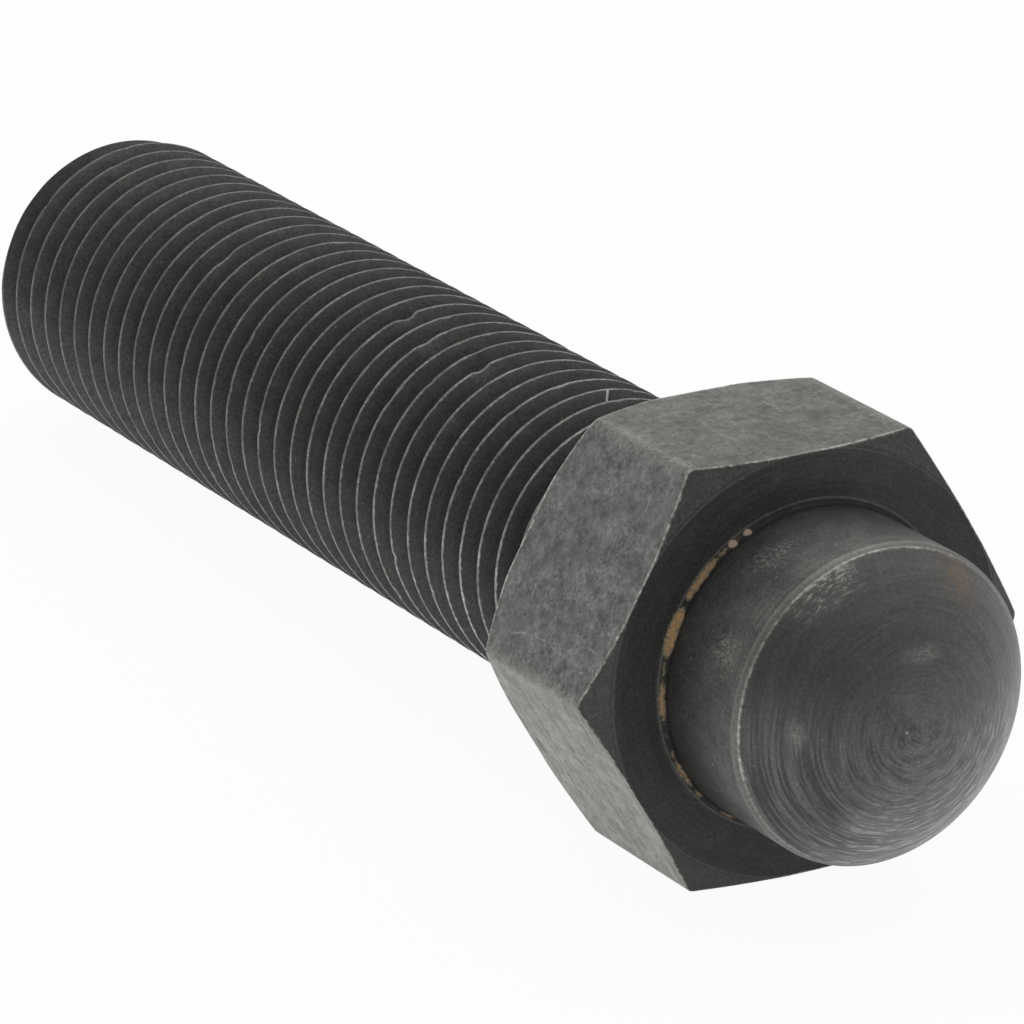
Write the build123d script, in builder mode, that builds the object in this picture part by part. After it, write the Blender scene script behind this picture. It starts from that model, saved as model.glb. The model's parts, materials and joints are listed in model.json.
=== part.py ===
"""An adjustable locating screw for a work-holding fixture, turned from one piece of hexagon bar.

A fine-pitch threaded shank carries a chamfered hexagon head, and on the head stands a short round
nose with a crowned end that the workpiece rests against. All sizes are in millimetres.
The screw is modelled along +Z, with the front face of its head at height zero and the nose above it.
It is then laid down as it comes to rest, on one flat of the head and the far end of its thread,
with the nose towards +X and the middle of its lowest level at the origin.
"""

from build123d import *
from math import asin, atan2, ceil, cos, degrees, radians, sin, sqrt, tan
import os

# The hexagon head
across_flats = 12.7
head_height = 6.24
corner_rounding = 0.25
front_chamfer_diameter = 12.76
front_chamfer_angle = 23.5
back_chamfer_diameter = 13.0
back_chamfer_angle = 38.1

# The nose and its crown
nose_diameter = 9.525
nose_side = 3.75
foot_fillet = 0.22
rim_break = 0.12
crown_radius = 6.1

# The threaded shank
thread_diameter = 9.38
pitch = 25.4 / 24
thread_angle = 60.0
thread_depth = 0.6134 * pitch
crest_width = pitch / 8
shank_length = 36.91
end_chamfer = 0.62
neck_width = 2.06
neck_undercut = 0.06
start_turn = 0.139

# Heights along the axis, from the front face of the head
back_face = -head_height
shank_end = back_face - shank_length
neck_bottom = back_face - neck_width

# Radii that follow from the sizes above
thread_radius = thread_diameter / 2
root_radius = thread_radius - thread_depth
neck_radius = root_radius - neck_undercut
corner_radius = across_flats / sqrt(3)
nose_radius = nose_diameter / 2
rim_radius = nose_radius - rim_break

# The shank is a core of the root diameter with one ridge wound round it. The ridge's foot lies a
# little below the core's surface, and the turned outline, a little clear of the crests, cuts the
# ridge off at the chamfered end and at the neck behind the head.
bite = 0.15
spare = 0.1
half_crest = crest_width / 2
half_foot = half_crest + (thread_depth + bite) * tan(radians(thread_angle / 2))
thread_start = shank_end + (start_turn - 1) * pitch
thread_turns = int((neck_bottom - thread_start) / pitch) + 2
thread_length = thread_turns * pitch

with BuildPart() as shank:
    with BuildSketch(Plane.XY.offset(thread_start - pitch)):
        Circle(root_radius)
    extrude(amount=thread_length + 2 * pitch)
    with BuildLine() as winding:
        Helix(pitch=pitch, height=thread_length, radius=thread_radius, center=(0, 0, thread_start))
    with BuildSketch(Plane.XZ):
        with BuildLine():
            Polyline(
                (root_radius - bite, thread_start - half_foot),
                (thread_radius, thread_start - half_crest),
                (thread_radius, thread_start + half_crest),
                (root_radius - bite, thread_start + half_foot),
                close=True,
            )
        make_face()
    sweep(path=winding.line, is_frenet=True)
    with BuildSketch(Plane.XZ):
        with BuildLine():
            Polyline(
                (0, shank_end),
                (thread_radius - end_chamfer, shank_end),
                (thread_radius + spare, shank_end + end_chamfer + spare),
                (thread_radius + spare, neck_bottom),
                (neck_radius, neck_bottom),
                (neck_radius, back_face),
                (0, back_face),
                close=True,
            )
        make_face()
    revolve(axis=Axis.Z, mode=Mode.INTERSECT)

# The head is a hexagon prism with slightly rounded corners, which are then turned away, shallow at
# the front and steeper at the back. Each chamfer is very slightly bowed: it lies on a large ball
# centred on the axis, which starts at the chamfer's diameter and has its angle at mid width.
front_middle = (front_chamfer_diameter / 2 + corner_radius) / 2
back_middle = (back_chamfer_diameter / 2 + corner_radius) / 2
front_bow = front_middle / sin(radians(front_chamfer_angle))
back_bow = back_middle / sin(radians(back_chamfer_angle))
front_bow_centre = -sqrt(front_bow**2 - (front_chamfer_diameter / 2) ** 2)
back_bow_centre = back_face + sqrt(back_bow**2 - (back_chamfer_diameter / 2) ** 2)

# The crown is part of a ball that starts inside the nose's broken rim.
crown_start = nose_side + rim_break
crown_centre = crown_start - sqrt(crown_radius**2 - rim_radius**2)
half_sweep = asin(rim_radius / crown_radius) / 2
crown_middle = (crown_radius * sin(half_sweep), crown_centre + crown_radius * cos(half_sweep))
crown_top = (0, crown_centre + crown_radius)

with BuildPart() as upright_screw:
    with BuildSketch(Plane.XY.offset(back_face)):
        RegularPolygon(radius=across_flats / 2, side_count=6, major_radius=False)
    extrude(amount=head_height)
    fillet(upright_screw.edges().filter_by(Axis.Z), radius=corner_rounding)
    with Locations((0, 0, front_bow_centre)):
        Sphere(radius=front_bow, mode=Mode.INTERSECT)
    with Locations((0, 0, back_bow_centre)):
        Sphere(radius=back_bow, mode=Mode.INTERSECT)
    with BuildSketch(Plane.XZ):
        with BuildLine():
            Polyline((nose_radius, foot_fillet), (nose_radius, nose_side), (rim_radius, crown_start))
            ThreePointArc((rim_radius, crown_start), crown_middle, crown_top)
            Polyline(crown_top, (0, 0), (nose_radius + foot_fillet, 0))
            RadiusArc((nose_radius + foot_fillet, 0), (nose_radius, foot_fillet), foot_fillet)
        make_face()
    revolve(axis=Axis.Z)
    add(shank.part)

# At rest the screw lies on the back end of the head's lowest flat and on the last whole crest of
# the thread below the axis. The head is the thicker of the two, so the thread's end dips.
flat_end = max(back_face, back_bow_centre - sqrt(back_bow**2 - (across_flats / 2) ** 2))
below_axis = start_turn + 0.75
last_crest_turn = below_axis + ceil((end_chamfer + half_crest) / pitch - below_axis)
resting_crest = shank_end + last_crest_turn * pitch - half_crest
resting_span = flat_end - resting_crest
dip = atan2(across_flats / 2 - thread_radius, resting_span)
lying = Plane(origin=(0, 0, 0), x_dir=(0, 1, 0), z_dir=(cos(dip), 0, sin(dip)))
laid_screw = lying.location * upright_screw.part
box = laid_screw.bounding_box()

with BuildPart() as locating_screw:
    add(Location((-box.center().X, -box.center().Y, -box.min.Z)) * laid_screw)

locating_screw.part.label = "locating_screw"
os.makedirs("parts", exist_ok=True)
export_step(locating_screw.part, "parts/locating_screw.step")

print("solids", len(locating_screw.part.solids()), "valid", locating_screw.part.is_valid)
print("volume", round(locating_screw.part.volume, 2), "mm3, dip", round(degrees(dip), 3), "degrees")
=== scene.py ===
# %% [markdown]
# # An adjustable locating screw, dressed for its portrait
#
# The real object is one piece of hexagon bar: a fine thread is cut on most of its length, the
# hexagon is left standing as a head for a spanner, and a short round nose is turned on the front
# of it. The whole screw was blackened, and then handled for years, so every ridge that rubs
# against something has gone back to bright steel.
#
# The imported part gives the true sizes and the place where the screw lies. This lesson makes one
# detailed skin for it, a handful of finishes, a plain pale table, soft light and the camera.

import json
import math

import bmesh
import bpy
from mathutils import Matrix, Vector, noise


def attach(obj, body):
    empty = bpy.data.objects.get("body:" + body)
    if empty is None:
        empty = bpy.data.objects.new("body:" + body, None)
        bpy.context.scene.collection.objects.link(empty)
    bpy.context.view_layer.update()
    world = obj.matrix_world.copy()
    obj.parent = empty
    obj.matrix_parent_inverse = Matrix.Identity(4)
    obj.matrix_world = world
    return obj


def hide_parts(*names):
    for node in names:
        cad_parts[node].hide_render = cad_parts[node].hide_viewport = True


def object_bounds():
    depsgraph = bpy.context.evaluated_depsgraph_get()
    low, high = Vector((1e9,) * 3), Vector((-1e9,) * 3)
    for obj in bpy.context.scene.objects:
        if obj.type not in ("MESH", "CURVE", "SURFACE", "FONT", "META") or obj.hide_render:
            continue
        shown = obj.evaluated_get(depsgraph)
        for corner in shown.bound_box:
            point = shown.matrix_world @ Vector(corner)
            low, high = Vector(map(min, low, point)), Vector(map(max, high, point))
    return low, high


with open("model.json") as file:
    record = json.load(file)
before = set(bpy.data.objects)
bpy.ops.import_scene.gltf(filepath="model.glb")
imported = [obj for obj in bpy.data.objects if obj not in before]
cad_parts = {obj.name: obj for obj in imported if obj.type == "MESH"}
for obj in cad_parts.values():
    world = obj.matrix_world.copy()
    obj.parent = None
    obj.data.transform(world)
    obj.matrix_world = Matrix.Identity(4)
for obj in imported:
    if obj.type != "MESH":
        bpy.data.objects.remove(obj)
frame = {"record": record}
cad_low, cad_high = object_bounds()
print("box of the packed part in mm:", [round(v * 1000, 3) for v in (cad_high - cad_low)])

# %% [markdown]
# ## Where the screw lies
#
# A turned part is easiest to shape standing on its own axis, and this one lies on its side with
# its tail dipped. The skin could be modelled lying down, with every formula tilted, or modelled
# upright and laid down once at the end. The second way is used, because then radius, height and
# angle round the axis are plain numbers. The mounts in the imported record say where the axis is:
# the nose's mount is the middle of its side wall, and the spanner flat's mount points straight up
# from the top flat. In the upright frame the front face of the head is at height zero, the nose
# points up along Z, and the top flat looks along Y. Sizes are in millimetres until the end.

# %% The screw's own frame
MM = 0.001
nose_diameter = 9.525
nose_side = 3.75
foot_fillet = 0.22

mounts = {mount["name"]: mount for mount in frame["record"]["mounts"]}
along = Vector(mounts["nose"]["axis"]).normalized()
up = Vector(mounts["spanner_flat"]["axis"]).normalized()
nose_middle = (nose_side + foot_fillet) / 2
front_face = Vector(mounts["nose"]["pos_m"]) - along * nose_middle * MM
sideways = up.cross(along)
laid_down = Matrix((sideways, up, along)).transposed().to_4x4()
laid_down.translation = front_face
print("front face of the head at", [round(v * 1000, 3) for v in front_face], "mm")
print("the tail dips by", round(math.degrees(math.asin(along.z)), 2), "degrees")

# %% [markdown]
# ## The sizes of the real screw
#
# These are the same sizes that the solid part is built from. The head is a half-inch hexagon, its
# corners turned away at the front and at the back, and each chamfer is very slightly bowed, so it
# is written as part of a large ball centred on the axis. The thread has 24 turns to the inch.

# %% Sizes in millimetres
across_flats = 12.7
head_height = 6.24
corner_rounding = 0.25
front_ring = 12.76 / 2
front_angle = math.radians(23.5)
back_ring = 13.0 / 2
back_angle = math.radians(38.1)

rim_break = 0.12
crown_ball = 6.1

crest = 9.38 / 2
pitch = 25.4 / 24
depth = 0.6134 * pitch
shank_length = 36.91
end_chamfer = 0.62
neck_width = 2.06
start_turn = 0.139

root = crest - depth
neck = root - 0.06
back_face = -head_height
shank_end = back_face - shank_length
neck_bottom = back_face - neck_width
nose = nose_diameter / 2
half_flats = across_flats / 2
sharp_corner = across_flats / math.sqrt(3)

front_bow = (front_ring + sharp_corner) / 2 / math.sin(front_angle)
front_centre = -math.sqrt(front_bow**2 - front_ring**2)
back_bow = (back_ring + sharp_corner) / 2 / math.sin(back_angle)
back_centre = back_face + math.sqrt(back_bow**2 - back_ring**2)
crown_start = nose - rim_break
crown_centre = nose_side + rim_break - math.sqrt(crown_ball**2 - crown_start**2)
print("length over all", round(crown_centre + crown_ball - shank_end, 3), "mm")

# %% [markdown]
# ## A net of columns and rows
#
# The skin could be cut from a hexagon and a cylinder with boolean tools, but booleans leave long
# thin triangles, and worn edges need small, even faces. So the skin is knitted as one closed net
# instead. A column is a line that runs up the outside of the screw at one angle, from the middle
# of the far end to the top of the crown. All columns have the same number of rows, and the rows of
# neighbouring columns are joined by four-sided faces. Columns stand close together at the six
# corners of the hexagon, where the outline turns fast, and further apart on the flats.

# %% The angles of the columns
corner_steps = [0.33, 0.66, 0.986, 1.6]
flat_steps = [3.0 + 2.7 * k for k in range(11)]
steps = corner_steps + flat_steps
sector = [-s for s in reversed(steps[1:-1])] + [-steps[0], 0.0] + steps
turns = [math.radians(60 * k + s) for k in range(6) for s in sector]
turns = sorted(t % (2 * math.pi) for t in turns)
print(len(turns), "columns")


# %% The hexagon's outline
def off_corner(turn):
    """How far, in radians, a direction is from the nearest corner of the hexagon."""
    return (turn + math.pi / 6) % (math.pi / 3) - math.pi / 6


def reach(turn):
    """How far the hexagon, with its rounded corners, reaches from the axis in a direction."""
    off = abs(off_corner(turn))
    middle = (half_flats - corner_rounding) / math.cos(math.pi / 6)
    last = math.atan2(corner_rounding / 2, middle + corner_rounding * math.cos(math.pi / 6))
    if off > last:
        return half_flats / math.cos(math.pi / 6 - off)
    return middle * math.cos(off) + math.sqrt(corner_rounding**2 - (middle * math.sin(off)) ** 2)


print("the hexagon reaches", round(reach(0.0), 3), "to", round(reach(math.pi / 6), 3), "mm")

# %% [markdown]
# ## Rows up the head
#
# Each row of the head carries three numbers: its radius, its height, and how far it is from the
# nearest edge. The last one is kept as an attribute of the mesh, because worn metal is a matter of
# nearness to an edge: the finishes will read it. No edge is perfectly sharp, so no row lies on the
# edge itself. A pair of rows stands a few hundredths of a millimetre on either side of it, and the
# narrow face between them catches the light as a real broken edge does.

# %% Rows between two edges
near_edge = [(0.022, 0.08), (0.075, 0.22), (0.24, 0.38)]


def between(length, inside):
    """Distances from the first edge for rows that crowd towards both ends of a stretch."""
    close = [min(step, share * length) for step, share in near_edge]
    wide = length - 2 * close[-1]
    middle = [close[-1] + wide * (k + 1) / (inside + 1) for k in range(inside)]
    return close + middle + [length - c for c in reversed(close)]


def front_height(radius):
    return min(0.0, front_centre + math.sqrt(front_bow**2 - radius**2))


def back_height(radius):
    return max(back_face, back_centre - math.sqrt(back_bow**2 - radius**2))


def head_rows(turn):
    """Rows from the neck's top over the back face, the flat and the front face to the nose."""
    side = reach(turn)
    back_edge = min(back_ring, side)
    front_edge = min(front_ring, side)
    rows = [("turned", neck, back_face, 0.5)]
    for radius in [4.6, 5.3, 5.9] + [back_edge - step for step, _ in reversed(near_edge)]:
        rows.append(("turned", radius, back_face, side - radius))
    length = side - back_edge
    for step in between(length, 1):
        radius = back_edge + step
        rows.append(("turned", radius, back_height(radius), length - step))
    low, high = back_height(side), front_height(side)
    for step in between(high - low, 9):
        rows.append(("flat", side, low + step, min(step, high - low - step)))
    length = side - front_edge
    for step in between(length, 1):
        rows.append(("turned", side - step, front_height(side - step), step))
    for radius in [front_edge - step for step, _ in near_edge] + [5.85, 5.55, 5.3]:
        rows.append(("turned", radius, 0.0, side - radius))
    return rows


print(len(head_rows(0.0)), "rows over the head")

# %% [markdown]
# ## Rows up the nose and over the crown
#
# The nose is the same all the way round, so its rows are one plain list. The foot is a small hollow
# fillet, left by the round tip of the turning tool. The rim between the side and the crown was
# broken at 45 degrees and has worn to a narrow bright land. The crown is part of a ball.


# %% Nose rows
def nose_rows():
    rows = [("turned", radius, 0.0, 1.0) for radius in (5.16, 5.06)]
    for degrees in (270, 247.5, 225, 202.5, 180):
        a = math.radians(degrees)
        radius = nose + foot_fillet * (1 + math.cos(a))
        rows.append(("turned", radius, foot_fillet * (1 + math.sin(a)), 1.0))
    for height in (0.3, 0.42, 0.6, 0.9, 1.3, 1.8, 2.3, 2.8, 3.2, 3.5):
        rows.append(("nose", nose, height, 1.0))
    for height in (nose_side - 0.12, nose_side - 0.04):
        rows.append(("nose", nose, height, nose_side + 0.15 - height))
    rows.append(("nose", nose - 0.01, nose_side + 0.01, 0.14))
    rows.append(("nose", crown_start + 0.012, nose_side + rim_break - 0.018, 0.0))
    for radius in (crown_start - 0.02, crown_start - 0.08, crown_start - 0.2):
        rows.append(("crown", radius, crown_height(radius), crown_start - radius))
    for k in range(17):
        radius = 4.25 * (1 - k / 17)
        rows.append(("crown", radius, crown_height(radius), crown_start - radius))
    return rows


def crown_height(radius):
    return crown_centre + math.sqrt(crown_ball**2 - radius**2)


print(len(nose_rows()), "rows over the nose, crown at", round(crown_height(0), 3), "mm")

# %% [markdown]
# ## Rows along the thread
#
# A thread could be faked with a stack of rings, but rings don't climb, and where the thread runs
# out at its end the difference shows. Here the rows climb: every row of a column is lifted by the
# part of a pitch that the column's angle is worth. After one full turn a row has climbed one whole
# pitch, so at the seam it is joined to the row one pitch further along. The ridge has a narrow land
# at its crest, two flanks at 60 degrees and a rounded root, eleven rows in all. Where the thread
# meets the end face or the neck, its rows are gathered on a ring there. The crest is not perfect:
# it wobbles by a few thousandths of a millimetre and carries small dents, and the eight knocks that
# show in the photograph are listed one by one.

# %% Shape of one ridge
half_land = pitch / 16
flank_rise = math.tan(math.radians(60))
land_edge, land_foot, root_starts = 0.048, 0.072, 0.41
ridge = [-land_foot, -land_edge, land_edge, land_foot, 0.25, 0.40, 0.47, 0.529, 0.588, 0.658, 0.808]
rows_a_pitch = len(ridge)


def ridge_radius(offset):
    """Radius of the thread's surface at a distance along the axis from the nearest crest."""
    off = abs((offset + pitch / 2) % pitch - pitch / 2)
    if off < 0.06:
        return crest
    if off < 0.075:
        return crest - 0.012
    drop = (off - half_land) * flank_rise
    if off < root_starts:
        return crest - drop
    hollow = (pitch / 2 - off) / (pitch / 2 - root_starts)
    return crest - depth - 0.008 + 0.062 * hollow**2


knocks = [(102.7, -21.5, 0.13), (108.9, -19.2, 0.07), (101.6, -17.8, 0.08), (107.5, -16.0, 0.10),
          (135.7, -18.7, 0.06), (143.9, -26.4, 0.05), (120.0, -31.0, 0.06), (96.0, -12.6, 0.07)]
knock_round, knock_along = 0.34, 0.62


def crest_wear(turn, height):
    """How much a crest has lost at one place: a slow wobble, a few dents and the listed knocks."""
    at = Vector((math.cos(turn) * 4.7, math.sin(turn) * 4.7, height))
    wobble = 0.006 * (1 + noise.noise(at * 1.3))
    dent = 0.16 * max(0.0, noise.noise(at * 2.1 + Vector((7.0, 3.0, 1.0))) - 0.46)
    for degrees, along_axis, deep in knocks:
        sidestep = (math.degrees(turn) - degrees) * math.radians(crest)
        near = 1 - math.hypot(sidestep / knock_round, (height - along_axis) / knock_along)
        dent = max(dent, deep * min(1.0, 2 * near))
    return wobble + dent


whole_turns = math.ceil((neck_bottom - shank_end) / pitch) + 3
print("ridge radii in mm:", [round(ridge_radius(o), 3) for o in ridge])


# %% Rows up the shank
def shank_rows(turn):
    """Rows from the far end to the neck, and the two rings where they are gathered."""
    first = shank_end + (start_turn - 2 + turn / (2 * math.pi)) * pitch
    rows = []
    for k in range(whole_turns * rows_a_pitch):
        offset = ridge[k % rows_a_pitch]
        height = first + (k // rows_a_pitch) * pitch + offset
        radius = ridge_radius(offset)
        off_crest = abs((offset + pitch / 2) % pitch - pitch / 2)
        away = max(0.0, off_crest - land_edge)
        if off_crest < 0.08:
            radius -= crest_wear(turn, height)
        cone = crest - end_chamfer + (height - shank_end)
        if cone < radius:
            radius, away = cone, 0.6
        if height <= shank_end:
            rows.append("end")
        elif height >= neck_bottom:
            rows.append("neck")
        else:
            rows.append(("thread", radius, height, away))
    return rows, first


def ring_radius(height, first):
    """Radius of the thread's surface where a ring cuts it."""
    return min(ridge_radius(height - first), crest - end_chamfer + (height - shank_end))


print(len(shank_rows(0.0)[0]), "rows along the shank")

# %% [markdown]
# ## Rust in the foot corner
#
# Oil and sweat collect in the corner between the head and the nose, and there the screw has rusted.
# Rust isn't only a colour: it stands a little proud of the steel. The rows near the foot are pushed
# out by a few hundredths of a millimetre, and only on the side that lay in the wet.


# %% Pushing the rust out
wet_middle, wet_half, rust_reach = 178, 68, 0.26


def wet_side(turn):
    """One where the foot corner is rusty, falling to nothing on the dry side."""
    away = abs((math.degrees(turn) - wet_middle + 180) % 360 - 180)
    return max(0.0, min(1.0, (wet_half - away) / 8))


def rust_height(turn, radius, height):
    from_corner = math.hypot(radius - nose, height)
    near = max(0.0, 1 - from_corner / rust_reach)
    if near == 0.0:
        return 0.0
    at = Vector((math.cos(turn) * radius, math.sin(turn) * radius, height))
    lumps = 0.5 + 0.5 * noise.fractal(at * 2.6, 1.0, 2.0, 3)
    return 0.07 * near * wet_side(turn) * max(0.0, lumps - 0.2)


print("rust stands up to", round(max(rust_height(t, nose + 0.06, 0.06) for t in turns), 3), "mm")

# %% [markdown]
# ## Knitting the net
#
# Now the columns are joined. The same list of vertices serves for all columns, the faces remember
# which finish they belong to, and two fans of triangles close the ends. On the flats' middles the
# chamfers run out to nothing, so rows fall on top of one another there, and doubled vertices are
# welded at the end.

# %% Vertices of the columns
zones = ["thread", "flat", "turned", "nose", "crown"]
end_rows = [3.95, 3.6, 2.9, 2.1, 1.2, 0.5]
edge_band = 0.1
places, edges_away, quads, quad_zones = [], [], [], []


def add_point(turn, radius, height, away):
    places.append((radius * math.cos(turn), radius * math.sin(turn), height))
    edges_away.append(away)
    return len(places) - 1


def dented(turn, radius, height, away):
    """Takes a little off the sharp edges of the head, unevenly."""
    if away > edge_band or radius < 5.5:
        return radius
    at = Vector((math.cos(turn) * radius, math.sin(turn) * radius, height))
    return radius - 0.012 * max(0.0, noise.noise(at * 2.3)) * (1 - away / edge_band)


columns, spiral_columns = [], []
for turn in turns:
    spiral, first = shank_rows(turn)
    end_ring = add_point(turn, ring_radius(shank_end, first), shank_end, 0.02)
    neck_ring = add_point(turn, ring_radius(neck_bottom, first), neck_bottom, 0.1)
    gathered = {"end": end_ring, "neck": neck_ring}
    spiral_columns.append([
        gathered[row] if isinstance(row, str) else add_point(turn, *row[1:]) for row in spiral
    ])
    disc = [add_point(turn, radius, shank_end, 4.0 - radius) for radius in reversed(end_rows)]
    column = [(index, "turned") for index in disc + [end_ring]]
    above = [(neck_ring, "thread"), (add_point(turn, neck, neck_bottom, 0.5), "turned")]
    for zone, radius, height, away in head_rows(turn) + nose_rows():
        radius = dented(turn, radius, height, away)
        swell = rust_height(turn, radius, height)
        above.append((add_point(turn, radius + swell * 0.6, height + swell, away), zone))
    columns.append((column, above))
print(len(places), "vertices before welding")


# %% Faces between the columns
def add_face(corners, zone):
    kept = [c for k, c in enumerate(corners) if c != corners[k - 1]]
    if len(set(kept)) > 2:
        quads.append(kept)
        quad_zones.append(zones.index(zone))


for c, (column, above) in enumerate(columns):
    d = (c + 1) % len(columns)
    for mine, theirs in ((column, columns[d][0]), (above, columns[d][1])):
        for k in range(len(mine) - 1):
            zone = mine[k + 1][1]
            add_face([mine[k][0], theirs[k][0], theirs[k + 1][0], mine[k + 1][0]], zone)
    climb = rows_a_pitch if d == 0 else 0
    mine, theirs = spiral_columns[c], spiral_columns[d]
    for k in range(len(mine) - 1 - climb):
        add_face([mine[k], theirs[k + climb], theirs[k + 1 + climb], mine[k + 1]], "thread")

far_middle = add_point(0.0, 0.0, shank_end, 4.0)
crown_middle = add_point(0.0, 0.0, crown_height(0.0), 4.0)
for c, (column, above) in enumerate(columns):
    other_column, other_above = columns[(c + 1) % len(columns)]
    add_face([far_middle, other_column[0][0], column[0][0]], "turned")
    add_face([crown_middle, above[-1][0], other_above[-1][0]], "crown")
print(len(quads), "faces before welding")

# %% Making the mesh
skin_mesh = bpy.data.meshes.new("screw_skin")
skin_mesh.from_pydata([Vector(p) * MM for p in places], [], quads)
away_layer = skin_mesh.attributes.new("edge_mm", "FLOAT", "POINT")
away_layer.data.foreach_set("value", edges_away)
skin_mesh.polygons.foreach_set("material_index", quad_zones)

welder = bmesh.new()
welder.from_mesh(skin_mesh)
bmesh.ops.remove_doubles(welder, verts=welder.verts, dist=1e-6)
bmesh.ops.dissolve_degenerate(welder, edges=welder.edges, dist=1e-7)
bmesh.ops.recalc_face_normals(welder, faces=welder.faces)
open_edges = sum(len(edge.link_faces) != 2 for edge in welder.edges)
triangles = sum(len(face.verts) - 2 for face in welder.faces)
print(triangles, "triangles,", open_edges, "open edges, volume",
      round(welder.calc_volume() * 1e9, 1), "mm3")
welder.to_mesh(skin_mesh)
welder.free()

# %% [markdown]
# ## Coordinates that belong to the steel
#
# Turning marks follow the radius and brushing follows the angle round the axis, so the finishes
# need the upright coordinates. The mesh stores them in millimetres as an attribute before the screw
# is laid down. A texture that reads them stays on the steel whatever happens to the object.

# %% Storing the coordinates and laying the screw down
place_layer = skin_mesh.attributes.new("place_mm", "FLOAT_VECTOR", "POINT")
stored = []
for vertex in skin_mesh.vertices:
    stored.extend(vertex.co / MM)
place_layer.data.foreach_set("vector", stored)
skin_mesh.transform(laid_down)
skin_mesh.shade_smooth()
skin_mesh.set_sharp_from_angle(angle=math.radians(38))
screw = bpy.data.objects.new("screw_skin", skin_mesh)
bpy.context.scene.collection.objects.link(screw)
print("skin of", len(skin_mesh.vertices), "vertices is in place")

# %% [markdown]
# ## Tools for the finishes
#
# Every finish below is a small network of shader nodes. Writing each node by hand would bury the
# recipe in wiring, so a few helpers come first. `put` adds a node and plugs values or links into
# it, and the others are the operations used again and again: `grain` is a noise, `fade` turns a
# range of values into a soft step, `blend` mixes two colours, and `shaded` multiplies a colour by a
# number. A link knows the tree that it belongs to, so only the first nodes need to be told theirs.


# %% Node helpers
def put(kind, inputs=(), tree=None, **settings):
    """Adds a node to the tree of the links that go into it, and fills in its named inputs."""
    inputs = dict(inputs)
    links = [value for value in inputs.values() if isinstance(value, bpy.types.NodeSocket)]
    tree = links[0].id_data if links else tree
    node = tree.nodes.new(kind)
    for name, value in settings.items():
        setattr(node, name, value)
    for name, value in inputs.items():
        if isinstance(value, bpy.types.NodeSocket):
            tree.links.new(value, node.inputs[name])
        else:
            node.inputs[name].default_value = value
    return node


def sums(operation, first, second=0.0):
    return put("ShaderNodeMath", {0: first, 1: second}, operation=operation).outputs[0]


def times(first, second):
    return sums("MULTIPLY", first, second)


def plus(first, second):
    return sums("ADD", first, second)


def vectors(operation, first, second=(0.0, 0.0, 0.0)):
    node = put("ShaderNodeVectorMath", {0: first, 1: second}, operation=operation)
    return node.outputs["Value" if operation in ("LENGTH", "DOT_PRODUCT") else "Vector"]


def grain(at, scale, detail=3.0, roughness=0.55):
    inputs = {"Vector": at, "Scale": scale, "Detail": detail, "Roughness": roughness}
    return put("ShaderNodeTexNoise", inputs).outputs["Fac"]


def fade(value, low, high, start=0.0, end=1.0):
    inputs = {"Value": value, "From Min": low, "From Max": high, "To Min": start, "To Max": end}
    node = put("ShaderNodeMapRange", inputs, interpolation_type="SMOOTHSTEP")
    return node.outputs["Result"]


def blend(amount, first, second, kind="MIX"):
    """Mixes two colours. The Mix node takes its colours at inputs 6 and 7 and gives one at 2."""
    pair = [c if isinstance(c, bpy.types.NodeSocket) else (*c, 1.0) for c in (first, second)]
    inputs = {0: amount, 6: pair[0], 7: pair[1]}
    return put("ShaderNodeMix", inputs, data_type="RGBA", blend_type=kind).outputs[2]


def shaded(colour, by):
    grey = put("ShaderNodeCombineColor", {0: by, 1: by, 2: by}).outputs[0]
    return blend(1.0, colour, grey, "MULTIPLY")


print("helpers: put, sums, times, plus, vectors, grain, fade, blend, shaded")

# %% [markdown]
# ## Reading the steel's coordinates
#
# Each finish starts by reading the stored attributes. From the place come the radius and the spin,
# which is the direction round the axis as a unit vector. Ring marks on a face are a noise that is
# stretched along the spin and tight along the radius. Brushing on a side wall is the same noise
# with the height in place of the radius. The spin also tells which side of the screw a place is on.


# %% Coordinates for a finish
def coordinates(tree):
    """A place on the steel, how far it is from an edge, and its radius, spin and height."""
    place = put("ShaderNodeAttribute", tree=tree, attribute_name="place_mm").outputs["Vector"]
    away = put("ShaderNodeAttribute", tree=tree, attribute_name="edge_mm").outputs["Fac"]
    flat = vectors("MULTIPLY", place, (1.0, 1.0, 0.0))
    radius = vectors("LENGTH", flat)
    spin = vectors("NORMALIZE", flat)
    height = put("ShaderNodeSeparateXYZ", {0: place}).outputs["Z"]
    return place, away, radius, spin, height


def around(spin, across, spread, tightness):
    """Coordinates that are long round the axis and tight across it."""
    grain_and_painted_light = put("ShaderNodeCombineXYZ", {"Z": times(across, tightness)})
    wide = vectors("MULTIPLY", spin, (spread, spread, spread))
    return vectors("ADD", wide, grain_and_painted_light.outputs[0])


def facing(spin, degrees, low, high):
    """One on the side of the screw that looks in a direction, fading between two nearnesses."""
    a = math.radians(degrees)
    near = vectors("DOT_PRODUCT", spin, (math.cos(a), math.sin(a), 0.0))
    return fade(near, low, high)


top_flat, left_flat, low_flat = 90, 150, 210
print("the flats that show look towards", top_flat, left_flat, "and", low_flat, "degrees")

# %% [markdown]
# ## Masks for the marks
#
# Use leaves a few kinds of mark, and each kind has a helper that gives a mask: one on the mark and
# nothing beside it. A worn edge follows the stored distance, a spot lies round a point of the
# steel, and a scratch lies between two points. A noise tears all their outlines, because a clean
# outline would look drawn.


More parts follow.
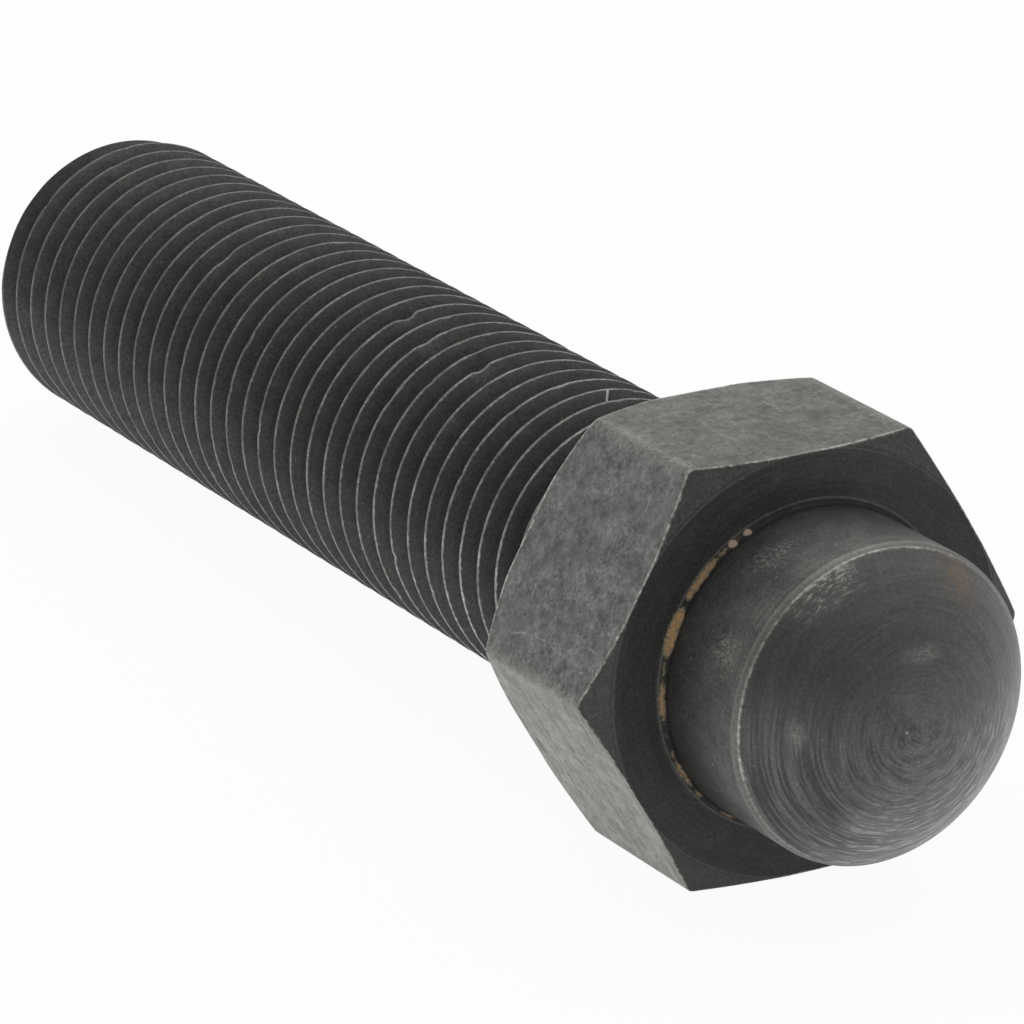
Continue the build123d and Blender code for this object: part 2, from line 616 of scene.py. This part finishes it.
# %% Masks
def worn(place, away, width, least, most):
    """How worn an edge is: a ragged line along it that comes and goes between two strengths."""
    ragged = grain(place, 6.0, 4.0, 0.65)
    strength = fade(grain(place, 0.9, 4.0, 0.6), 0.38, 0.62, least, most)
    pushed = plus(away, times(ragged, width * 1.6))
    line = fade(pushed, width * 0.65, width * 1.35, 1.0, 0.0)
    return times(line, strength)


def spot(place, centre, size, stretch=(1.0, 1.0, 1.0), soft=0.35):
    """One on a small mark round a point of the steel, with a torn outline, hard or soft."""
    gap = vectors("MULTIPLY", vectors("SUBTRACT", place, centre), stretch)
    torn = times(grain(place, 5.0, 4.0, 0.7), size)
    reach_out = plus(vectors("LENGTH", gap), torn)
    return fade(reach_out, size * (1.28 - soft / 2), size * (1.28 + soft / 2), 1.0, 0.0)


def scratch(place, start, end, width):
    """One close to the line between two points of the steel, ragged and broken."""
    way = Vector(end) - Vector(start)
    from_start = vectors("SUBTRACT", place, start)
    share = vectors("DOT_PRODUCT", from_start, tuple(way / way.length_squared))
    share = sums("MINIMUM", sums("MAXIMUM", share, 0.0), 1.0)
    pulled = put("ShaderNodeVectorMath", {0: tuple(way), "Scale": share}, operation="SCALE")
    gap = vectors("LENGTH", vectors("SUBTRACT", from_start, pulled.outputs[0]))
    broken = times(grain(place, 4.0, 3.0, 0.7), width * 1.6)
    return fade(plus(gap, broken), width * 1.3, width * 2.0, 1.0, 0.0)


def strongest(masks):
    """The greatest of several masks."""
    result = masks[0]
    for mask in masks[1:]:
        result = sums("MAXIMUM", result, mask)
    return result


print("kinds of mark: worn, spot, scratch")

# %% [markdown]
# ## How a finish starts and ends
#
# All five finishes start from an empty tree and end at the same sockets of one shader: colour,
# roughness, metal and bump. The faces of the skin know only the number of their zone, so the
# finishes are given to it in the order of the zones: thread, flats, turned faces, nose and crown.


# %% Start and end
def steel(name):
    """A new finish, with its node tree emptied down to the shader and the output."""
    material = bpy.data.materials.new(name)
    material.use_nodes = True
    tree = material.node_tree
    tree.nodes.clear()
    shader = put("ShaderNodeBsdfPrincipled", tree=tree)
    put("ShaderNodeOutputMaterial", {"Surface": shader.outputs[0]})
    return material, tree, shader


def finished(material, shader, colour, roughness, metal, relief, deep):
    """Plugs in what was worked out, with a bump so many millimetres deep, and dresses the skin."""
    tree = material.node_tree
    tree.links.new(colour, shader.inputs["Base Color"])
    tree.links.new(roughness, shader.inputs["Roughness"])
    shader.inputs["Metallic"].default_value = metal
    bump = put("ShaderNodeBump", {"Height": relief, "Distance": deep * MM, "Strength": 1.0})
    tree.links.new(bump.outputs[0], shader.inputs["Normal"])
    skin_mesh.materials.append(material)
    print(material.name, "has", len(tree.nodes), "nodes")


print("finishes to make:", zones)

# %% [markdown]
# ## Thread: the black flanks
#
# The flanks still have the black finish, a dark charcoal with faint lines round it. One even black
# would look like paint. Years of handling made this one cloudy. It is also painted paler towards
# the far end, as a painted haze of light, and on the low side, as a painted reflection of the pale
# table.

# %% Black flanks
flank_black = (0.046, 0.046, 0.046)
flank_cloud = (0.068, 0.067, 0.065)
flank_rubbed = (0.085, 0.083, 0.080)

material, tree, shader = steel("thread_black_and_bright")
place, away, _, spin, height = coordinates(tree)
cloud = grain(place, 1.6, 5.0, 0.6)
fine = grain(place, 11.0, 3.0, 0.6)
lines = grain(around(spin, height, 2.0, 16.0), 1.0, 3.0)
flanks = blend(fade(cloud, 0.25, 0.75), flank_black, flank_cloud)
flanks = blend(fade(lines, 0.5, 0.75, 0.0, 0.35), flanks, flank_rubbed)
# Painted haze towards the far end, and a painted reflection on the low side, which faces the table.
far_end_painted_haze = fade(height, -43.0, -22.0, 1.35, 1.0)
grain_and_painted_haze = times(fade(fine, 0.3, 0.7, 0.75, 1.25), far_end_painted_haze)
underside_painted_reflection = fade(facing(spin, 240, 0.0, 1.0), 0.0, 1.0, 1.05, 1.35)
flanks = shaded(flanks, times(grain_and_painted_haze, underside_painted_reflection))
print("nodes for the flanks:", len(tree.nodes))

# %% [markdown]
# ## Thread: the bright crests
#
# The lands of the crests are bare steel, because every turn in a tapped hole polishes them. They
# are brightest near the head. On the low side near the head they are painted brighter still, as a
# painted reflection of the pale table.

# %% Bright crests
crest_dull = (0.135, 0.130, 0.122)
crest_bright = (0.25, 0.246, 0.236)

near_head = fade(height, -38.0, -9.0)
crest_steel = blend(near_head, crest_dull, crest_bright)
crest_steel = shaded(crest_steel, fade(fine, 0.3, 0.7, 0.6, 1.4))
# Painted reflection: the crests on the low side are made brighter, most of all near the head.
low_side_painted_reflection = times(facing(spin, 225, 0.2, 1.0), fade(height, -22.0, -9.0, 0.5, 1.3))
crest_steel = shaded(crest_steel, plus(low_side_painted_reflection, 1.0))
rubbed = worn(place, away, 0.055, 0.5, 1.0)
colour = blend(rubbed, flanks, crest_steel)
print("nodes with the crests:", len(tree.nodes))

# %% [markdown]
# ## Thread: dust, scuffs and a nick
#
# A few tan specks of dust sit in the grooves, three places are scuffed, and one short bright nick
# crosses a flank close to the head. A noise scatters the smallest specks. The other marks belong to
# this one screw, so they are listed.

# %% Marks on the thread
dust_tan = (0.24, 0.20, 0.15)
scuff_grey = (0.13, 0.128, 0.122)
nick_steel = (0.50, 0.49, 0.46)
dust = [((-2.14, 3.85, -34.15), 0.15), ((-4.36, 0.56, -32.07), 0.11),
        ((-4.32, -0.85, -31.12), 0.09), ((-1.9, 4.0, -25.3), 0.07)]
scuffed = [((-1.49, 4.30, -19.4), 0.5), ((-1.39, 4.35, -16.2), 0.45), ((-3.17, 3.33, -15.1), 0.4)]

specks = strongest([fade(grain(place, 6.0, 1.0), 0.78, 0.81)]
                   + [spot(place, centre, size) for centre, size in dust])
colour = blend(specks, colour, dust_tan)
scuffs = strongest([spot(place, centre, size, (1.0, 1.0, 0.8), 1.0) for centre, size in scuffed])
scuffs = times(scuffs, fade(fine, 0.45, 0.62, 0.1, 0.7))
colour = blend(scuffs, colour, scuff_grey)
rolled = around(spin, height, 4.6, 1.0)
nick = scratch(rolled, (0.48, 4.57, -12.0), (0.22, 4.60, -11.52), 0.045)
colour = blend(nick, colour, nick_steel)
roughness = fade(rubbed, 0.0, 1.0, 0.56, 0.42)
finished(material, shader, colour, roughness, 0.5, plus(lines, fine), 0.006)

# %% [markdown]
# ## Flats: the skin of the bar
#
# The flats are the skin of the drawn bar and were never machined. They are a mottled mid grey,
# cloudy at several scales. The three flats that show differ: the top one is warmer and painted a
# little darker, as shade, and the lower left one is the palest, a painted reflection of the pale
# table that is a little warm.


# %% Skin of the bar
def on_flat(spin, degrees):
    """One on the flat that looks in a direction, up to its two corners."""
    return facing(spin, degrees, 0.84, 0.90)


bar_dark = (0.160, 0.160, 0.157)
bar_pale = (0.184, 0.183, 0.179)
top_flat_painted_shade = (0.84, 0.84, 0.80)
low_flat_painted_reflection = (1.52, 1.49, 1.42)

material, tree, shader = steel("hexagon_bar_skin")
place, away, radius, spin, height = coordinates(tree)
wide = grain(place, 0.45, 3.0)
patches = grain(place, 1.5, 5.0, 0.6)
coarse = grain(place, 3.6, 6.0, 0.8)
fine = grain(place, 9.0, 4.0, 0.75)
tone = blend(fade(wide, 0.3, 0.7), bar_dark, bar_pale)
mottle = times(fade(patches, 0.3, 0.7, 0.82, 1.18), fade(coarse, 0.34, 0.66, 0.72, 1.28))
grit = times(sums("SUBTRACT", fine, 0.5), fade(grain(place, 0.8, 2.0), 0.38, 0.62, 0.9, 2.6))
colour = shaded(tone, times(mottle, plus(grit, 1.0)))
# Painted shade on the top flat and a painted reflection on the lower left flat, both a little warm.
painted_flat_light = blend(on_flat(spin, top_flat), (1.0, 1.0, 1.0), top_flat_painted_shade)
painted_flat_light = blend(on_flat(spin, low_flat), painted_flat_light, low_flat_painted_reflection)
colour = blend(1.0, colour, painted_flat_light, "MULTIPLY")
print("nodes for the bar's skin:", len(tree.nodes))

# %% [markdown]
# ## Flats: streaks and scratches
#
# The lower left flat has pale and dark streaks that run round the bar. The other two carry hairline
# scratches from spanners, short lines between two points, pushed about by a noise so that none of
# them is ruled.

# %% Streaks and scratches
streak_pale = (0.44, 0.425, 0.39)
streak_dark = (0.13, 0.125, 0.115)
scratch_pale = (0.38, 0.375, 0.36)
left_marks = [
    ((-6.93, 0.70, -4.73), (-6.71, 1.07, -3.62)), ((-6.74, 1.03, -3.58), (-6.82, 0.89, -2.58)),
    ((-6.35, 1.70, -3.05), (-6.61, 1.24, -2.37)), ((-6.51, 1.43, -1.83), (-6.56, 1.34, -0.4)),
    ((-4.26, 5.32, -1.58), (-4.49, 4.93, -1.54)), ((-6.37, 1.67, -4.67), (-6.14, 2.06, -4.72)),
    ((-4.88, 4.24, -3.25), (-4.90, 4.22, -2.56)), ((-6.90, 0.74, -1.49), (-6.80, 0.91, -0.54))]
top_marks = [
    ((-1.39, 6.35, -3.60), (-1.09, 6.35, -1.90)), ((1.23, 6.35, -4.61), (1.37, 6.35, -2.66)),
    ((2.00, 6.35, -2.08), (3.45, 6.35, -2.24)), ((-2.74, 6.35, -2.89), (-2.51, 6.35, -1.74))]


def bent(place, much):
    """The steel's coordinates pushed about a little, so that straight marks wander."""
    inputs = {"Vector": place, "Scale": 0.9, "Detail": 2.0}
    push = put("ShaderNodeTexNoise", inputs).outputs["Color"]
    push = vectors("MULTIPLY", vectors("SUBTRACT", push, (0.5, 0.5, 0.5)), (much,) * 3)
    return vectors("ADD", place, push)


across = grain(around(spin, height, 1.2, 9.0), 1.0, 4.0, 0.7)
for start, full, paint in ((0.46, 0.62, streak_pale), (0.46, 0.34, streak_dark)):
    streaks = times(on_flat(spin, low_flat), fade(across, start, full))
    colour = blend(times(streaks, 0.6), colour, paint)
wandering = bent(place, 0.5)
for group, share in ((left_marks, 0.6), (top_marks, 0.35)):
    marks = strongest([scratch(wandering, start, end, 0.035) for start, end in group])
    colour = blend(times(marks, share), colour, scratch_pale)
print(len(left_marks) + len(top_marks), "scratches on the flats")

# %% [markdown]
# ## Flats: frost, pits and worn edges
#
# A pale frost lies on some patches, dark pits are scattered everywhere, and a pale haze thickens
# towards the corners. The edges are rubbed down to bright steel, most on the left flat and at the
# top corner.

# %% Frost, pits and worn edges
frost_pale = (0.36, 0.355, 0.34)
pit_black = (0.045, 0.044, 0.042)
haze_pale = (0.33, 0.325, 0.31)
edge_bright = (0.80, 0.79, 0.75)

frost = times(fade(grain(place, 5.0, 4.0, 0.7), 0.60, 0.70), fade(patches, 0.5, 0.65))
colour = blend(times(frost, 0.55), colour, frost_pale)
pits = fade(grain(place, 6.5, 5.0, 0.75), 0.32, 0.40, 1.0, 0.0)
colour = blend(times(pits, 0.7), colour, pit_black)
haze = times(fade(radius, 7.10, 7.28, 0.0, 0.45), fade(fine, 0.3, 0.6))
colour = blend(haze, colour, haze_pale)
most_worn = strongest([facing(spin, 72, 0.93, 0.98), on_flat(spin, left_flat)])
rubbed = times(worn(place, away, 0.15, 0.7, 1.0), fade(most_worn, 0.0, 1.0, 0.55, 1.0))
colour = blend(rubbed, colour, edge_bright)
roughness = fade(patches, 0.3, 0.7, 0.56, 0.46)
relief = sums("SUBTRACT", plus(times(patches, 1.2), fine), pits)
finished(material, shader, colour, roughness, 0.7, relief, 0.008)

# %% [markdown]
# ## Rust for two finishes
#
# The rust lies where the head meets the nose, so both of their finishes need it, and it is one
# function. It could be one even band, but on the screw it sits in beads, so each bead is listed
# with its angle round the axis, its half length in degrees and its width. Two pale lumps are left
# on top of it.

# %% Rust
rust_tan = (0.33, 0.27, 0.175)
rust_orange = (0.62, 0.37, 0.18)
rust_dark = (0.10, 0.07, 0.045)
lump_pale = (0.52, 0.41, 0.32)
beads = [(126.0, 5.0, 0.11), (137.5, 9.0, 0.165), (157.5, 8.5, 0.225), (182.0, 8.0, 0.15),
         (195.0, 7.0, 0.06), (210.5, 6.0, 0.145), (221.0, 2.5, 0.12), (235.5, 5.0, 0.12)]
lumps = [((-2.04, 4.34, 0.07), 0.15), ((-2.52, 4.10, 0.07), 0.17)]


def rust_over(colour, place, spin, radius, height):
    """Lays a narrow ragged seam of tan rust into the foot corner, on the side that was wet."""
    outward = sums("SUBTRACT", radius, nose)
    pair = put("ShaderNodeCombineXYZ", {"X": outward, "Y": height}).outputs[0]
    far = vectors("LENGTH", pair)
    wide = fade(grain(place, 3.5, 3.0, 0.6), 0.36, 0.60, 0.02, 0.10)
    for degrees, half, extra in beads:
        low, high = (math.cos(math.radians(half * k)) for k in (1.45, 0.1))
        bead = times(facing(spin, degrees, low, high), extra)
        wide = sums("MAXIMUM", wide, bead)
    torn = times(sums("SUBTRACT", grain(place, 8.0, 4.0, 0.75), 0.5), 0.24)
    left = sums("SUBTRACT", plus(wide, torn), far)
    amount = times(fade(left, -0.03, 0.03), facing(spin, 179, 0.40, 0.47))
    speckle = grain(place, 12.0, 3.0, 0.75)
    core = times(fade(speckle, 0.38, 0.58), fade(left, 0.0, 0.09))
    rust = blend(core, rust_tan, rust_orange)
    rust = blend(fade(speckle, 0.34, 0.42, 0.7, 0.0), rust, rust_dark)
    lump = strongest([spot(place, centre, size) for centre, size in lumps])
    rust = blend(lump, rust, lump_pale)
    amount = sums("MAXIMUM", times(amount, 0.92), lump)
    return blend(amount, colour, rust), amount


print(len(beads), "beads of rust and", len(lumps), "lumps")

# %% [markdown]
# ## Turned faces: rings on black
#
# The front of the head, its chamfers and the back were faced on a lathe and then blackened, and
# nothing rubs there, so they are the darkest places. Fine rings from the tool run round the axis,
# with one paler line where the chamfer starts and one at the foot of the nose.

# %% Rings on black
faced_black = (0.041, 0.041, 0.041)
faced_ring = (0.054, 0.053, 0.052)
faced_cloud = (0.070, 0.069, 0.066)
chamfer_grey = (0.105, 0.104, 0.100)
line_pale = (0.20, 0.197, 0.19)

material, tree, shader = steel("turned_face_black")
place, away, radius, spin, height = coordinates(tree)
rings = grain(around(spin, radius, 1.6, 11.0), 1.0, 3.0)
cloud = grain(place, 1.4, 4.0)
colour = blend(fade(rings, 0.35, 0.7), faced_black, faced_ring)
colour = blend(fade(cloud, 0.45, 0.75, 0.0, 0.5), colour, faced_cloud)
front = fade(height, -1.2, -0.9)
chamfer = times(fade(radius, front_ring, front_ring + 0.12, 0.0, 0.34), front)
colour = blend(chamfer, colour, chamfer_grey)
for ring, share in ((front_ring, 0.2), (4.94, 0.3)):
    off_ring = sums("ABSOLUTE", sums("SUBTRACT", radius, ring))
    line = times(fade(off_ring, 0.01, 0.045, share, 0.0), front)
    colour = blend(line, colour, line_pale)
print("nodes for the rings:", len(tree.nodes))

# %% [markdown]
# ## Turned faces: what lies on them
#
# The hollow at the foot is in deep shade, so it is darkened and loses its gloss, and the rust comes
# on top of that. A few pale specks and the rubbed edges of the chamfers are laid over all of it.

# %% Foot, rust and edges
foot_black = (0.018, 0.018, 0.018)
speck_pale = (0.18, 0.17, 0.155)
chamfer_bright = (0.58, 0.57, 0.54)

fine = grain(place, 9.0, 4.0, 0.7)
# Painted light: the upper side of the face is made up to a fifth lighter, over a fine grain.
upper_side_painted_light = facing(spin, 120, 0.0, 0.8)
grain_and_painted_light = times(fade(fine, 0.28, 0.72, 0.72, 1.28), fade(upper_side_painted_light, 0.0, 1.0, 1.0, 1.22))
colour = shaded(colour, grain_and_painted_light)
foot = times(fade(radius, 4.86, 4.96, 1.0, 0.0), front)
colour = blend(times(foot, 0.45), colour, foot_black)
colour, rusty = rust_over(colour, place, spin, radius, height)
specks = fade(grain(place, 9.0, 1.0), 0.76, 0.81)
colour = blend(specks, colour, speck_pale)
rubbed = worn(place, away, 0.095, 0.5, 1.0)
colour = blend(rubbed, colour, chamfer_bright)
tree.links.new(fade(foot, 0.0, 1.0, 0.3, 0.08), shader.inputs["Specular IOR Level"])
roughness = fade(rusty, 0.0, 1.0, 0.5, 0.85)
finished(material, shader, colour, roughness, 0.3, plus(rings, times(rusty, 0.8)), 0.006)

# %% [markdown]
# ## Nose: dark satin, brushed towards the rim
#
# The side of the nose slides in a bushing. It keeps its dark satin near the foot, where the rust
# is, and is painted darker still in the corner at the foot, as shade. It grows paler and finely
# brushed towards the rim, where a narrow paler band shows the wear.

# %% Satin and brushing
satin_dark = (0.086, 0.086, 0.084)
satin_pale = (0.120, 0.119, 0.114)
brushed_pale = (0.19, 0.188, 0.18)
slid_pale = (0.22, 0.217, 0.205)
foot_corner_painted_shade = (0.046, 0.046, 0.045)
land_pale = (0.21, 0.207, 0.198)

material, tree, shader = steel("nose_dark_satin")
place, away, radius, spin, height = coordinates(tree)
brushed = grain(around(spin, height, 4.0, 15.0), 1.0, 4.0, 0.65)
cloud = grain(place, 1.3, 4.0)
fine = grain(place, 10.0, 4.0, 0.7)
colour = blend(fade(cloud, 0.3, 0.7), satin_dark, satin_pale)
colour = blend(fade(brushed, 0.52, 0.75, 0.0, 0.4), colour, brushed_pale)
towards_rim = plus(fade(height, 1.4, 3.6), fade(cloud, 0.3, 0.7, -0.4, 0.2))
slid = times(towards_rim, fade(brushed, 0.42, 0.66, 0.1, 0.6))
colour = blend(fade(slid, 0.0, 1.0, 0.0, 0.7), colour, slid_pale)
colour = shaded(colour, fade(fine, 0.25, 0.75, 0.65, 1.35))
# Painted shade in the corner at the foot of the nose.
colour = blend(fade(height, 0.2, 0.42, 0.8, 0.0), colour, foot_corner_painted_shade)
land = times(fade(height, nose_side - 0.13, nose_side - 0.09), fade(fine, 0.3, 0.7, 0.4, 0.9))
colour = blend(land, colour, land_pale)
print("nodes for the satin:", len(tree.nodes))

# %% [markdown]
# ## Nose: smudges, specks and the worn rim
#
# Two smudges and a scatter of pale specks lie on the side that faces the camera. The rim is worn
# bright, most on its upper left. The crown meets the same rim from the other side, so the rim's
# wear is a function that both finishes call.


# %% Smudges, specks and rim
def rim_worn(colour, place, away, spin):
    """Lays bright steel on the rim of the nose, more of it on the upper left."""
    upper_left = facing(spin, 130, 0.0, 0.95)
    rubbed = times(worn(place, away, 0.065, 0.5, 1.0), fade(upper_left, 0.0, 1.0, 0.35, 1.0))
    return blend(rubbed, colour, rim_bright)


rim_bright = (0.62, 0.61, 0.58)
smudge_pale = (0.36, 0.355, 0.34)
grit_pale = (0.34, 0.32, 0.29)

smudges = strongest([
    spot(place, (-4.28, 2.08, 2.60), 0.55, (1.0, 1.0, 0.8), 1.1),
    spot(place, (-2.2, 4.20, 1.65), 0.6, (0.7, 1.0, 1.0), 1.1)])
smudges = times(smudges, fade(fine, 0.45, 0.62))
colour = blend(times(smudges, 0.6), colour, smudge_pale)
colour, rusty = rust_over(colour, place, spin, radius, height)
specks = fade(grain(place, 8.0, 1.0), 0.725, 0.77, 0.0, 0.8)
colour = blend(specks, colour, grit_pale)
colour = rim_worn(colour, place, away, spin)
roughness = fade(rusty, 0.0, 1.0, 0.44, 0.85)
finished(material, shader, colour, roughness, 0.7, plus(brushed, plus(rusty, fine)), 0.006)

# %% [markdown]
# ## Crown: the turning marks
#
# The crown carries the workpiece. Its turning marks stand about 0.13 mm apart, faint in the middle
# and bold on the low side, with broader bands among them. A sine of the radius would give them, but
# it looks printed, so a noise that is stretched round the axis does most of the work.

# %% Turning marks
feed_a_turn = 0.13
cut_dark = (0.074, 0.074, 0.073)
cut_pale = (0.158, 0.157, 0.153)

material, tree, shader = steel("crown_ring_marks")
place, away, radius, spin, _ = coordinates(tree)
wander = times(grain(place, 0.8, 2.0), 0.20)
turns_out = times(plus(radius, wander), 2 * math.pi / feed_a_turn)
feed = times(sums("SINE", turns_out), 0.03)
bands = times(grain(around(spin, radius, 1.2, 3.2), 1.0, 2.0), 0.5)
rings = times(grain(around(spin, radius, 2.0, 13.0), 1.0, 4.0, 0.65), 0.75)
rings = plus(plus(rings, feed), sums("SUBTRACT", bands, 0.125))
bold = plus(facing(spin, 260, -0.6, 0.8), fade(radius, 1.6, 0.4, 0.0, 0.2))
cut_deeper = times(facing(spin, 235, 0.2, 0.9), fade(radius, 2.2, 3.4))
bold = plus(fade(bold, 0.0, 1.0, 0.3, 1.0), cut_deeper)
shown = plus(times(sums("SUBTRACT", rings, 0.5), bold), 0.5)
colour = blend(fade(shown, 0.28, 0.72), cut_dark, cut_pale)
fine = grain(place, 10.0, 4.0, 0.7)
colour = shaded(colour, fade(fine, 0.25, 0.75, 0.78, 1.22))
# Painted shade: the left side of the crown is made darker.
left_side_painted_shade = fade(facing(spin, 185, 0.3, 0.95), 0.0, 1.0, 1.0, 0.82)
colour = shaded(colour, left_side_painted_shade)
print("nodes for the turning marks:", len(tree.nodes))

# %% [markdown]
# ## Crown: painted glints and marks of use
#
# The low right side carries painted highlights in streaks, glints of the light along the ring
# marks. A patch of short bright dashes near the rim, two rubbed places and a faint brown smear
# tell of use.

# %% Painted glints, dashes, rubs and smear
painted_glint = (0.43, 0.427, 0.415)
dash_bright = (0.45, 0.44, 0.42)
rub_pale = (0.34, 0.335, 0.32)
smear_brown = (0.25, 0.155, 0.095)

# Painted highlight: glints along the rings on the low right, stronger towards the rim.
streaks = grain(around(spin, radius, 5.0, 12.0), 1.0, 4.0, 0.65)
low_right = facing(spin, 302, 0.0, 1.0)
glint = times(fade(streaks, 0.46, 0.68, 0.15, 1.0), fade(radius, 0.4, 4.3))
glint = times(glint, fade(low_right, 0.0, 1.0, 0.03, 1.0))
colour = blend(glint, colour, painted_glint)
dots = grain(around(spin, radius, 13.0, 15.0), 1.0, 5.0, 0.75)
dashes = times(facing(spin, 117, 0.95, 1.0), fade(radius, 3.85, 4.35))
dashes = times(dashes, fade(dots, 0.49, 0.60, 0.05, 0.8))
colour = blend(dashes, colour, dash_bright)
rubs = strongest([
    spot(place, (0.2, 2.08, 5.64), 0.34, (0.5, 1.1, 1.0), 1.2),
    spot(place, (-3.42, 0.15, 4.95), 0.30, (1.3, 0.6, 1.0), 1.2)])
rubs = times(rubs, fade(dots, 0.40, 0.62, 0.15, 0.9))
speck_in_middle = spot(place, (-0.49, 0.01, 5.99), 0.06)
specks = strongest([fade(grain(place, 8.0, 1.0), 0.765, 0.80), speck_in_middle])
light = strongest([times(rubs, 0.6), times(specks, 0.7)])
colour = blend(light, colour, rub_pale)
smear = spot(place, (2.2, 3.52, 4.36), 0.45, (0.75, 0.6, 0.5), 1.1)
smear = times(smear, fade(dots, 0.40, 0.60))
colour = blend(times(smear, 0.6), colour, smear_brown)
colour = rim_worn(colour, place, away, spin)
roughness = fade(rings, 0.3, 0.7, 0.48, 0.40)
finished(material, shader, colour, roughness, 0.8, plus(shown, times(fine, 0.4)), 0.011)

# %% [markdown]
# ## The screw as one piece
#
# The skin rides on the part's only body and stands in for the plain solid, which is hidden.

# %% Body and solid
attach(screw, "root")
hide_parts("locating_screw")
print("finishes:", [finish.name for finish in skin_mesh.materials])

# %% [markdown]
# ## A pale table
#
# The screw lies on a plain white surface without a horizon. One large sheet is enough, because
# the camera looks down on it. Seen directly or in a reflection, it mostly shows plain white, and
# the rest of what it shows is lit by the lamp and the sky, so the screw's soft shadow stays.

# %% Table
table_half = 0.9
table_mesh = bpy.data.meshes.new("table")
corners = [(-table_half, -table_half), (table_half, -table_half),
           (table_half, table_half), (-table_half, table_half)]
table_mesh.from_pydata([(x, y, cad_low.z) for x, y in corners], [], [(0, 1, 2, 3)])
table = bpy.data.objects.new("table", table_mesh)
bpy.context.scene.collection.objects.link(table)

paper = bpy.data.materials.new("white_table")
paper.use_nodes = True
tree = paper.node_tree
tree.nodes.clear()
matt = put("ShaderNodeBsdfDiffuse", {"Color": (0.92, 0.92, 0.915, 1.0)}, tree)
white = put("ShaderNodeEmission", {"Color": (1.0, 1.0, 1.0, 1.0), "Strength": 1.0}, tree)
rays = put("ShaderNodeLightPath", tree=tree).outputs
seen = sums("MAXIMUM", rays["Is Camera Ray"], rays["Is Glossy Ray"])
seen = sums("MAXIMUM", seen, rays["Is Transmission Ray"])
shares = {0: times(seen, 0.95), 1: matt.outputs[0], 2: white.outputs[0]}
both = put("ShaderNodeMixShader", shares)
put("ShaderNodeOutputMaterial", {"Surface": both.outputs[0]})
table_mesh.materials.append(paper)
print("table reaches", table_half, "m each way")

# %% [markdown]
# ## The camera
#
# The photograph looks down at the nose end with a long lens. The camera's place and direction were
# found by fitting the corners of the hexagon and the edges of the thread, in the screw's upright
# frame, so they are laid down with the screw.

# %% Camera
eye_mm = Vector((-102.41, 73.188, 164.283))
aim_mm = Vector((-6.413, 4.049, -5.580))
roll = math.radians(-0.504)

back_way = (eye_mm - aim_mm).normalized()
level_way = Vector((0.0, 1.0, 0.0)).cross(back_way).normalized()
look = Matrix((level_way, back_way.cross(level_way), back_way)).transposed().to_4x4()
look = Matrix.Translation(eye_mm * MM) @ look @ Matrix.Rotation(roll, 4, "Z")
camera_data = bpy.data.cameras.new("camera")
camera_data.sensor_width = 36.0
camera_data.lens = 256.64
camera_data.clip_start, camera_data.clip_end = 0.01, 5.0
camera = bpy.data.objects.new("camera", camera_data)
bpy.context.scene.collection.objects.link(camera)
bpy.context.scene.camera = camera
camera.matrix_world = laid_down @ look
print("camera at", [round(v * 1000, 1) for v in camera.matrix_world.translation], "mm")

# %% [markdown]
# ## Soft light
#
# A white tent stands round the screw in the photograph, open towards the camera. The world colour
# plays the tent: brighter behind the screw, dimmer in front. One broad lamp overhead adds a soft
# shadow and gives the surfaces a direction.

# %% World and lamp
world = bpy.data.worlds.new("tent")
bpy.context.scene.world = world
world.use_nodes = True
tree = world.node_tree
tree.nodes.clear()
direction = put("ShaderNodeTexCoord", tree=tree).outputs["Generated"]
behind = vectors("DOT_PRODUCT", direction, (-0.83, 0.5, 0.25))
level = fade(behind, -1.0, 1.0, 0.30, 0.88)
sky = put("ShaderNodeBackground", {"Color": (1.0, 0.995, 0.985, 1.0), "Strength": level})
put("ShaderNodeOutputWorld", {"Surface": sky.outputs[0]})

lamp_data = bpy.data.lights.new("overhead", "AREA")
lamp_data.shape = "RECTANGLE"
lamp_data.size, lamp_data.size_y = 0.5, 0.5
lamp_data.energy = 0.8
lamp = bpy.data.objects.new("overhead", lamp_data)
bpy.context.scene.collection.objects.link(lamp)
lamp.location = (-0.15, 0.12, 0.55)
lamp.rotation_euler = (-lamp.location).to_track_quat("-Z", "Y").to_euler()
print("lamp at", [round(v, 2) for v in lamp.location])

bpy.context.scene.view_settings.view_transform = "Standard"
